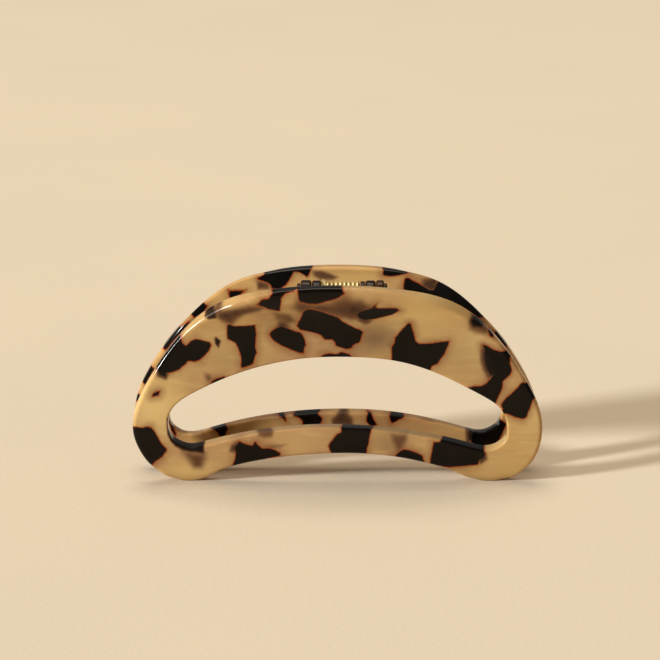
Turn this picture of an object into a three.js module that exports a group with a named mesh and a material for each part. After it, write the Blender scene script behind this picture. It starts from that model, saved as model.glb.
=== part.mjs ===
// Claw hair clip with two crescent frames: each frame is a bent sheet of acetate with a crescent cut-out,
// and the two are joined near their top edges by a pin hinge with a torsion spring round the pin.
// Millimetres, +Z up. X runs along the clip. The front frame is at -Y, the rear frame at +Y.
// The origin is on the surface that the clip stands on, midway between the frames. The jaws are closed.
import * as THREE from "three";
import { ParametricGeometry } from "three/addons/geometries/ParametricGeometry.js";

// ---------------------------------------------------------------- driving dimensions
const SHEET = 4.0; // thickness of the acetate sheet
const EDGE_OUT = 1.2; // radius of the polished outer edges
const EDGE_CUT = 0.6; // radius of the cut-out's edges
const GAP = 0.3; // glue line, or working gap, between neighbouring pieces

// The flat outline, once round from the top middle by the +X end. The two ends differ by a millimetre or so,
// as on a clip shaped by hand: [x, z] on the outer edge, then [x, z] across from it on the cut-out's edge.
const OUTLINE = [
  [0, 56.6, 0, 35.89],
  [6.55, 56.42, 4.54, 35.84],
  [13.02, 55.88, 9.04, 35.62],
  [19.35, 54.81, 13.47, 35.15],
  [25.43, 53.07, 17.8, 34.36],
  [31.13, 50.5, 22.02, 33.21],
  [36.32, 47.08, 26.13, 31.75],
  [40.9, 42.95, 30.08, 30.03],
  [44.78, 38.44, 33.8, 28.19],
  [47.96, 33.95, 37.21, 26.4],
  [50.6, 29.71, 40.24, 24.71],
  [52.76, 25.74, 42.74, 22.96],
  [54.32, 21.96, 44.48, 20.95],
  [55.15, 18.4, 45.4, 18.76],
  [55.31, 15.09, 45.76, 16.68],
  [54.96, 12.01, 45.8, 14.92],
  [54.11, 9.1, 45.54, 13.53],
  [52.67, 6.41, 44.96, 12.51],
  [50.65, 4.08, 44.18, 11.79],
  [48.22, 2.26, 43.32, 11.19],
  [45.56, 0.82, 42.32, 10.68],
  [42.6, 0, 41.06, 10.35],
  [40.2, 0, 39.58, 10.31],
  [37, 1.05, 37.89, 10.55],
  [33.9, 2.74, 35.81, 11.07],
  [30.9, 4.16, 32.97, 11.91],
  [27.32, 5.47, 29.08, 12.97],
  [22.89, 6.68, 24.24, 14.05],
  [17.76, 7.75, 18.78, 15.01],
  [12.18, 8.56, 12.92, 15.78],
  [6.23, 9.01, 6.63, 16.32],
  [0, 9.05, 0, 16.57],
  [-6.22, 8.79, -6.64, 16.49],
  [-12.16, 8.31, -12.95, 16.05],
  [-17.74, 7.6, -18.82, 15.31],
  [-22.89, 6.67, -24.29, 14.33],
  [-27.36, 5.55, -29.15, 13.23],
  [-30.96, 4.27, -33.06, 12.2],
  [-33.85, 2.73, -35.91, 11.4],
  [-36.6, 0.85, -37.97, 10.94],
  [-38.95, 0, -39.59, 10.86],
  [-41.35, 0, -40.93, 11.13],
  [-44.8, 1.35, -42.01, 11.58],
  [-47.48, 3.24, -42.85, 12.04],
  [-49.71, 5.09, -43.5, 12.5],
  [-51.55, 7.21, -44.04, 13.09],
  [-53.01, 9.63, -44.52, 13.94],
  [-54.11, 12.27, -44.95, 15.12],
  [-54.75, 15.14, -45.26, 16.69],
  [-54.74, 18.32, -45.22, 18.71],
  [-53.93, 21.83, -44.5, 20.97],
  [-52.39, 25.58, -42.87, 23.13],
  [-50.29, 29.55, -40.42, 25],
  [-47.72, 33.78, -37.38, 26.7],
  [-44.58, 38.28, -33.9, 28.38],
  [-40.76, 42.82, -30.08, 30.05],
  [-36.26, 47.01, -26.06, 31.56],
  [-31.13, 50.5, -21.92, 32.86],
  [-25.45, 53.12, -17.7, 33.94],
  [-19.37, 54.89, -13.41, 34.81],
  [-13.03, 55.95, -9.02, 35.43],
  [-6.55, 56.47, -4.54, 35.77],
];

// The bend of the sheet, seen from the side: [z, distance of the sheet's middle from the clip's middle plane, slope].
const BEND = [
  [0, 2.35, 0],
  [1, 2.6, 0.48],
  [2.4, 3.55, 0.72],
  [4.2, 4.62, 0.43],
  [7, 5.63, 0.268],
  [11, 6.19, 0.082],
  [15, 6.42, -0.001],
  [19, 6.23, -0.050],
  [23, 6.16, 0.007],
  [27, 6.16, -0.022],
  [32, 5.84, -0.100],
  [37, 5.3, -0.096],
  [42, 5.12, 0.053],
  [46, 5.82, 0.321],
  [50, 7.79, 0.657],
  [54, 10.27, 0.388],
  [58, 10.68, -0.040],
];

// Hinge, all measured along X unless a radius
const PIN_Z = 52.5; // height of the hinge axis, at y = 0
const PIN_R = 0.8;
const PIN_X = [-10, 13.05];
const BORE_R = 1.12; // hole in each ear and in the collar
const CAP_R = 1.95;
const CAP_LEFT = [-10.6, -9.8];
const CAP_RIGHT = [12.85, 13.55];
const CAP_SOCKET = 0.45;
const EARS = {
  rear_ear_left: { x: [-9.5, -6.85], r: 2.8, side: 1 },
  front_ear_left: { x: [-6.55, -4.2], r: 2.65, side: -1 },
  front_ear_right: { x: [7.75, 10.4], r: 2.65, side: -1 },
  rear_ear_right: { x: [10.7, 12.55], r: 2.8, side: 1 },
};
const EAR_FOOT_Z = [42.4, 49.9]; // the stretch of the frame's inner face that each ear is cemented to
const COLLAR_X = [6.4, 7.45];
const COLLAR_R = 2.4;
const WIRE_R = 0.4;
const COIL_R = 2.15; // to the middle of the wire
const COIL_X0 = -3.45; // first turn's top
const COIL_PITCH = 1.131;
const COIL_TURNS = 8;

// ---------------------------------------------------------------- bend and outline
function bend(z) {
  const n = BEND.length;
  let i = 0;
  while (i < n - 2 && z > BEND[i + 1][0]) i++;
  const [z0, y0, m0] = BEND[i],
    [z1, y1, m1] = BEND[i + 1],
    h = z1 - z0,
    t = THREE.MathUtils.clamp((z - z0) / h, 0, 1);
  const y =
    (2 * t ** 3 - 3 * t ** 2 + 1) * y0 +
    (t ** 3 - 2 * t ** 2 + t) * h * m0 +
    (-2 * t ** 3 + 3 * t ** 2) * y1 +
    (t ** 3 - t ** 2) * h * m1;
  const slope =
    ((6 * t ** 2 - 6 * t) * y0) / h +
    (3 * t ** 2 - 4 * t + 1) * m0 +
    ((-6 * t ** 2 + 6 * t) * y1) / h +
    (3 * t ** 2 - 2 * t) * m1;
  return { y, angle: Math.atan(slope) };
}

// A point of the sheet: x and z on its middle surface, and b outwards from it. Returned as [x, distance from the middle plane, z].
function onSheet(x, z, b) {
  const { y, angle } = bend(z);
  return [x, y + b * Math.cos(angle), z - b * Math.sin(angle)];
}

const outerEdge = new THREE.CatmullRomCurve3(
  OUTLINE.map(([x, z]) => new THREE.Vector3(x, 0, z)),
  true,
  "centripetal",
);
const cutOutEdge = new THREE.CatmullRomCurve3(
  OUTLINE.map(([, , x, z]) => new THREE.Vector3(x, 0, z)),
  true,
  "centripetal",
);

// The section of the band between the two edges: [share of its width, mm added, offset b through the thickness],
// once round from the outer face.
const H = SHEET / 2;
const FACE_STEPS = [0, 0.2, 0.4, 0.6, 0.8, 1];
// A quarter round of radius r: [distance in from the edge, distance in from the face] at an angle from the edge.
const round = (r, deg) => {
  const a = (deg * Math.PI) / 180;
  return [r * (1 - Math.cos(a)), r * (1 - Math.sin(a))];
};
const outRounds = [60, 30].map((a) => round(EDGE_OUT, a));
const cutRound = round(EDGE_CUT, 45);
const section = [
  ...FACE_STEPS.map((s) => [s, EDGE_CUT * (1 - s) - EDGE_OUT * s, H]),
  ...outRounds.map(([e, f]) => [1, -e, H - f]),
  [1, 0, H - EDGE_OUT],
  [1, 0, EDGE_OUT - H],
  ...outRounds.toReversed().map(([e, f]) => [1, -e, f - H]),
  ...FACE_STEPS.map((s) => [1 - s, EDGE_CUT * s - EDGE_OUT * (1 - s), -H]),
  [0, cutRound[0], cutRound[1] - H],
  [0, 0, EDGE_CUT - H],
  [0, 0, H - EDGE_CUT],
  [0, cutRound[0], H - cutRound[1]],
];

function frameSkin(u, v, target) {
  const t = Math.round(u * OUTLINE.length) / OUTLINE.length;
  const o = outerEdge.getPoint(t % 1),
    c = cutOutEdge.getPoint(t % 1);
  const [share, add, b] =
    section[Math.round(v * section.length) % section.length];
  const w = o.distanceTo(c),
    a = share * w + add;
  const p = c.clone().lerp(o, a / w);
  const [x, y, z] = onSheet(p.x, Math.max(p.z, 0), b);
  target.set(x, -y, Math.max(z, 0));
}

function frameGeometry() {
  return new ParametricGeometry(frameSkin, OUTLINE.length, section.length);
}

// ---------------------------------------------------------------- hinge pieces
// Puts a shape drawn in (y, z) and extruded by its thickness along +X.
function alongX(geometry, x0) {
  const m = new THREE.Matrix4().makeBasis(
    new THREE.Vector3(0, 1, 0),
    new THREE.Vector3(0, 0, 1),
    new THREE.Vector3(1, 0, 0),
  );
  return geometry.applyMatrix4(m).translate(x0, 0, 0);
}

function earGeometry({ x, r, side }) {
  // foot: follows the frame's inner face, one glue line away from it
  const foot = [];
  for (let i = 0; i <= 5; i++) {
    const z = THREE.MathUtils.lerp(EAR_FOOT_Z[0], EAR_FOOT_Z[1], i / 5);
    const [, y, zz] = onSheet(0, z, -(H + GAP));
    foot.push(new THREE.Vector2(y, zz));
  }
  // head: a round barrel about the pin, met by straight flanks that touch it
  const tangent = (p, sign) => {
    const dx = p.x,
      dz = p.y - PIN_Z,
      d = Math.hypot(dx, dz),
      a = Math.atan2(dz, dx) + sign * Math.acos(r / d);
    return a;
  };
  const a0 = tangent(foot[5], 1),
    a1 = tangent(foot[0], -1) + 2 * Math.PI;
  const points = [...foot];
  const steps = 16;
  for (let i = 0; i <= steps; i++) {
    const a = THREE.MathUtils.lerp(a0, a1, i / steps);
    points.push(new THREE.Vector2(r * Math.cos(a), PIN_Z + r * Math.sin(a)));
  }
  const outline = points.map((p) => new THREE.Vector2(side * p.x, p.y));
  if (side < 0) outline.reverse(); // keeps it anticlockwise
  const shape = new THREE.Shape(outline);
  const hole = new THREE.Path();
  hole.absarc(0, PIN_Z, BORE_R, 0, 2 * Math.PI, true);
  shape.holes.push(hole);
  const g = new THREE.ExtrudeGeometry(shape, {
    depth: x[1] - x[0],
    bevelEnabled: false,
    curveSegments: 16,
  });
  return alongX(g, x[0]);
}

// A turned piece: its profile is [distance along X, radius].
function turned(profile, segments = 20) {
  const g = new THREE.LatheGeometry(
    profile.map(([x, r]) => new THREE.Vector2(r, x)),
    segments,
  );
  g.rotateZ(-Math.PI / 2); // the lathe's own axis +Y becomes +X
  return g.translate(0, 0, PIN_Z);
}

const pinGeometry = turned([
  [PIN_X[0], 0],
  [PIN_X[0], PIN_R - 0.15],
  [PIN_X[0] + 0.15, PIN_R],
  [PIN_X[1] - 0.15, PIN_R],
  [PIN_X[1], PIN_R - 0.15],
  [PIN_X[1], 0],
]);

function capGeometry([x0, x1], open) {
  // open = 1: the socket faces +X (left cap), -1: it faces -X (right cap)
  const outer = open > 0 ? x0 : x1,
    inner = open > 0 ? x1 : x0,
    floor = inner - open * CAP_SOCKET;
  const profile = [
    [outer, 0],
    [outer, CAP_R - 0.5],
    [outer + open * 0.35, CAP_R],
    [inner, CAP_R],
    [inner, BORE_R],
    [floor, BORE_R],
    [floor, 0],
  ];
  return turned(open > 0 ? profile : profile.reverse());
}

const collarGeometry = turned([
  [COLLAR_X[0], BORE_R],
  [COLLAR_X[0], COLLAR_R],
  [COLLAR_X[1], COLLAR_R],
  [COLLAR_X[1], BORE_R],
  [COLLAR_X[0], BORE_R],
]);

// The spring wire: the front leg bears on the front frame's handle, the coil winds about the pin,
// and the rear leg bears on the rear frame's handle.
function springGeometry() {
  const pts = [];
  const at = (x, y, z) => pts.push(new THREE.Vector3(x, y, PIN_Z + z));
  at(-2.7, -7.55, 1.75);
  at(-2.85, -5.6, 2.15);
  at(-3.1, -3.2, 2.6);
  at(-3.35, -1.2, 2.8);
  at(-3.55, 0.2, 2.65);
  at(-3.5, 1.55, 1.9);
  const perTurn = 12;
  const start = 0.25; // a quarter turn past the top, at the back
  for (let i = 0; i <= COIL_TURNS * perTurn; i++) {
    const turn = start + (i / perTurn) * ((COIL_TURNS - 0) / COIL_TURNS);
    const a = 2 * Math.PI * turn;
    at(
      COIL_X0 + COIL_PITCH * turn,
      COIL_R * Math.sin(a),
      COIL_R * Math.cos(a),
    );
  }
  const xe = COIL_X0 + COIL_PITCH * (COIL_TURNS + 0.25);
  at(xe + 0.05, 2.3, -0.9);
  at(xe + 0.05, 3.15, -1.5);
  at(xe + 0.02, 4.3, -1.5);
  at(xe, 5.5, -1.4);
  const path = new THREE.CatmullRomCurve3(pts, false, "centripetal");
  const wire = new THREE.Shape();
  const n = 7;
  for (let i = 0; i < n; i++) {
    const a = (2 * Math.PI * i) / n;
    wire[i ? "lineTo" : "moveTo"](WIRE_R * Math.cos(a), WIRE_R * Math.sin(a));
  }
  return new THREE.ExtrudeGeometry(wire, {
    steps: 118,
    bevelEnabled: false,
    extrudePath: path,
  });
}

// ---------------------------------------------------------------- the assembly
const material = (color, roughness, metalness = 0) =>
  new THREE.MeshStandardMaterial({ color, roughness, metalness });
const tortoiseshell = () => material(0xb98f5a, 0.12);
const darkAcetate = () => material(0x241812, 0.15);
const brownAcetate = () => material(0x3a2518, 0.18);
const goldWire = () => material(0xd9c58f, 0.28, 0.9);
const pinSteel = () => material(0x8a857c, 0.3, 1);

function piece(name, geometry, mat) {
  const m = new THREE.Mesh(geometry, mat);
  m.name = name;
  return m;
}

const clip = new THREE.Group();

const front = new THREE.Group();
front.add(piece("front_frame", frameGeometry(), tortoiseshell()));
front.add(
  piece("front_ear_left", earGeometry(EARS.front_ear_left), darkAcetate()),
);
front.add(
  piece("front_ear_right", earGeometry(EARS.front_ear_right), darkAcetate()),
);
clip.add(front);

const rear = new THREE.Group();
const rearFrame = piece("rear_frame", frameGeometry(), tortoiseshell());
rearFrame.rotation.z = Math.PI; // the same frame, turned half round
rear.add(rearFrame);
rear.add(
  piece("rear_ear_left", earGeometry(EARS.rear_ear_left), darkAcetate()),
);
rear.add(
  piece("rear_ear_right", earGeometry(EARS.rear_ear_right), brownAcetate()),
);
rear.add(piece("hinge_pin", pinGeometry, pinSteel()));
rear.add(piece("pin_cap_left", capGeometry(CAP_LEFT, 1), darkAcetate()));
rear.add(piece("pin_cap_right", capGeometry(CAP_RIGHT, -1), darkAcetate()));
rear.add(piece("spring_collar", collarGeometry, darkAcetate()));
rear.add(piece("torsion_spring", springGeometry(), goldWire()));
clip.add(rear);

export default clip;
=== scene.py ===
# Claw hair clip: looks. Metres, +Z up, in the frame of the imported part. The tables are in millimetres.
import math

import bpy
import numpy as np
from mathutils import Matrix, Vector


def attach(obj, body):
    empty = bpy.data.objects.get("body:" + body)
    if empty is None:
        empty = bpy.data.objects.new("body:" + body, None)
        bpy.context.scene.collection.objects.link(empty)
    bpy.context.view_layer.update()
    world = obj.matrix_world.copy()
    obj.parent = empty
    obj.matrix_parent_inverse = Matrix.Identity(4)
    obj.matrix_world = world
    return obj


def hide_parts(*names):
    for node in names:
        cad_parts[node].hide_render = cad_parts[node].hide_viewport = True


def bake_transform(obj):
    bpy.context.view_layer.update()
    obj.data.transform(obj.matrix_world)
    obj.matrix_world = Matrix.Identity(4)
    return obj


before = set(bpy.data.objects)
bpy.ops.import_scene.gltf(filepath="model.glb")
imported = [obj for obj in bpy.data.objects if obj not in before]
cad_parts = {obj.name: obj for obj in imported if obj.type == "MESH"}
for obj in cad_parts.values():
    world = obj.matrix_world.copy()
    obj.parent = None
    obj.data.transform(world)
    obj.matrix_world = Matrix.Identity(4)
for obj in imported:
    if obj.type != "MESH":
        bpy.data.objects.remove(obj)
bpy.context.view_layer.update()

MM = 0.001

# ------------------------------------------------------------------ dimensions, as in the part
SHEET = 4.0
ROUND_OUT = 1.2
ROUND_CUT = 0.6
TIP_EASE = 0.9
TIP_X = (41.4, -40.15)
H = SHEET / 2

# once round from the top middle by the +X end: outer edge x, z, then the cut-out's edge x, z
OUTLINE = np.array([
    [0, 56.6, 0, 35.89],
    [6.55, 56.42, 4.54, 35.84],
    [13.02, 55.88, 9.04, 35.62],
    [19.35, 54.81, 13.47, 35.15],
    [25.43, 53.07, 17.8, 34.36],
    [31.13, 50.5, 22.02, 33.21],
    [36.32, 47.08, 26.13, 31.75],
    [40.9, 42.95, 30.08, 30.03],
    [44.78, 38.44, 33.8, 28.19],
    [47.96, 33.95, 37.21, 26.4],
    [50.6, 29.71, 40.24, 24.71],
    [52.76, 25.74, 42.74, 22.96],
    [54.32, 21.96, 44.48, 20.95],
    [55.15, 18.4, 45.4, 18.76],
    [55.31, 15.09, 45.76, 16.68],
    [54.96, 12.01, 45.8, 14.92],
    [54.11, 9.1, 45.54, 13.53],
    [52.67, 6.41, 44.96, 12.51],
    [50.65, 4.08, 44.18, 11.79],
    [48.22, 2.26, 43.32, 11.19],
    [45.56, 0.82, 42.32, 10.68],
    [42.6, 0, 41.06, 10.35],
    [40.2, 0, 39.58, 10.31],
    [37, 1.05, 37.89, 10.55],
    [33.9, 2.74, 35.81, 11.07],
    [30.9, 4.16, 32.97, 11.91],
    [27.32, 5.47, 29.08, 12.97],
    [22.89, 6.68, 24.24, 14.05],
    [17.76, 7.75, 18.78, 15.01],
    [12.18, 8.56, 12.92, 15.78],
    [6.23, 9.01, 6.63, 16.32],
    [0, 9.05, 0, 16.57],
    [-6.22, 8.79, -6.64, 16.49],
    [-12.16, 8.31, -12.95, 16.05],
    [-17.74, 7.6, -18.82, 15.31],
    [-22.89, 6.67, -24.29, 14.33],
    [-27.36, 5.55, -29.15, 13.23],
    [-30.96, 4.27, -33.06, 12.2],
    [-33.85, 2.73, -35.91, 11.4],
    [-36.6, 0.85, -37.97, 10.94],
    [-38.95, 0, -39.59, 10.86],
    [-41.35, 0, -40.93, 11.13],
    [-44.8, 1.35, -42.01, 11.58],
    [-47.48, 3.24, -42.85, 12.04],
    [-49.71, 5.09, -43.5, 12.5],
    [-51.55, 7.21, -44.04, 13.09],
    [-53.01, 9.63, -44.52, 13.94],
    [-54.11, 12.27, -44.95, 15.12],
    [-54.75, 15.14, -45.26, 16.69],
    [-54.74, 18.32, -45.22, 18.71],
    [-53.93, 21.83, -44.5, 20.97],
    [-52.39, 25.58, -42.87, 23.13],
    [-50.29, 29.55, -40.42, 25],
    [-47.72, 33.78, -37.38, 26.7],
    [-44.58, 38.28, -33.9, 28.38],
    [-40.76, 42.82, -30.08, 30.05],
    [-36.26, 47.01, -26.06, 31.56],
    [-31.13, 50.5, -21.92, 32.86],
    [-25.45, 53.12, -17.7, 33.94],
    [-19.37, 54.89, -13.41, 34.81],
    [-13.03, 55.95, -9.02, 35.43],
    [-6.55, 56.47, -4.54, 35.77],
])

# the bend of the sheet: z, distance of its middle from the middle plane, slope
BEND = np.array([
    [0, 2.35, 0],
    [1, 2.6, 0.48],
    [2.4, 3.55, 0.72],
    [4.2, 4.62, 0.43],
    [7, 5.63, 0.268],
    [11, 6.19, 0.082],
    [15, 6.42, -0.001],
    [19, 6.23, -0.05],
    [23, 6.16, 0.007],
    [27, 6.16, -0.022],
    [32, 5.84, -0.1],
    [37, 5.3, -0.096],
    [42, 5.12, 0.053],
    [46, 5.82, 0.321],
    [50, 7.79, 0.657],
    [54, 10.27, 0.388],
    [58, 10.68, -0.04],
])

PIN_Z = 52.5
PIN_R = 0.8
PIN_X = (-10.0, 13.05)
BORE_R = 1.12
CAP_R = 1.95
CAP_LEFT = (-10.6, -9.7)
CAP_RIGHT = (12.78, 13.5)
CAP_SOCKET = 0.5
EARS = {
    "rear_ear_left": ((-9.6, -6.72), 2.8, 1),
    "front_ear_left": ((-6.62, -4.05), 2.7, -1),
    "front_ear_right": ((7.7, 10.42), 2.7, -1),
    "rear_ear_right": ((10.5, 12.7), 2.8, 1),
}
EAR_FOOT_Z = (42.4, 49.9)
GAP = 0.3
COLLAR_X = (6.36, 7.6)
COLLAR_R = 2.5
WIRE_R = 0.4
COIL_R = 2.15
COIL_X0 = -3.45
COIL_PITCH = 1.131
COIL_TURNS = 8

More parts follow.
